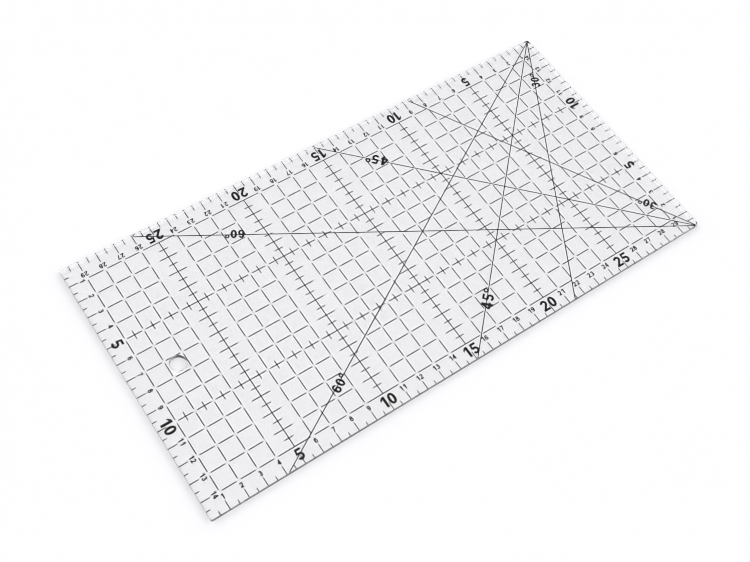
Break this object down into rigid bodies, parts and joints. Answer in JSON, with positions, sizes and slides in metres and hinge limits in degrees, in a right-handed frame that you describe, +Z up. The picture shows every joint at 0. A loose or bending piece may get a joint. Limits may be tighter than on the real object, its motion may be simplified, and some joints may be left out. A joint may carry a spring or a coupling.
{
  "type": "quilting ruler",
  "caption": "Clear acrylic quilting ruler, 30 by 15 cm, printed underneath with a centimetre grid, edge scales and 30, 45 and 60 degree lines, with a hanging hole.",
  "frame": {"origin": "middle of the underside, on the surface that the ruler lies on", "axes": "+X along the 30 cm scale, +Y along the 15 cm scale, +Z up through the plate; the print is on the underside and reads from above"},
  "size_m": [0.3, 0.15, 0.003],
  "materials": {
    "clear_acrylic": "clear cast acrylic sheet, polished faces, saw-cut and polished edges",
    "black_ink": "black screen-print ink, cured film"
  },
  "bodies": {
    "root": {"acrylic_plate": "clear_acrylic", "edge_ticks_back": "black_ink", "edge_ticks_front": "black_ink", "edge_ticks_left": "black_ink", "edge_ticks_right": "black_ink", "five_centimetre_lines": "black_ink", "five_centimetre_rows": "black_ink", "grid_dashes_crosswise": "black_ink", "grid_dashes_lengthwise": "black_ink", "label_30_degrees_back": "black_ink", "label_30_degrees_front": "black_ink", "label_45_degrees_back": "black_ink", "label_45_degrees_front": "black_ink", "label_60_degrees_back": "black_ink", "label_60_degrees_front": "black_ink", "large_numerals_back": "black_ink", "large_numerals_front": "black_ink", "large_numerals_left": "black_ink", "large_numerals_right": "black_ink", "line_30_degrees_back": "black_ink", "line_30_degrees_front": "black_ink", "line_45_degrees_back": "black_ink", "line_45_degrees_front": "black_ink", "line_60_degrees_back": "black_ink", "line_60_degrees_front": "black_ink", "small_numerals_back": "black_ink", "small_numerals_front": "black_ink", "small_numerals_left": "black_ink", "small_numerals_right": "black_ink"}
  },
  "joints": []
}
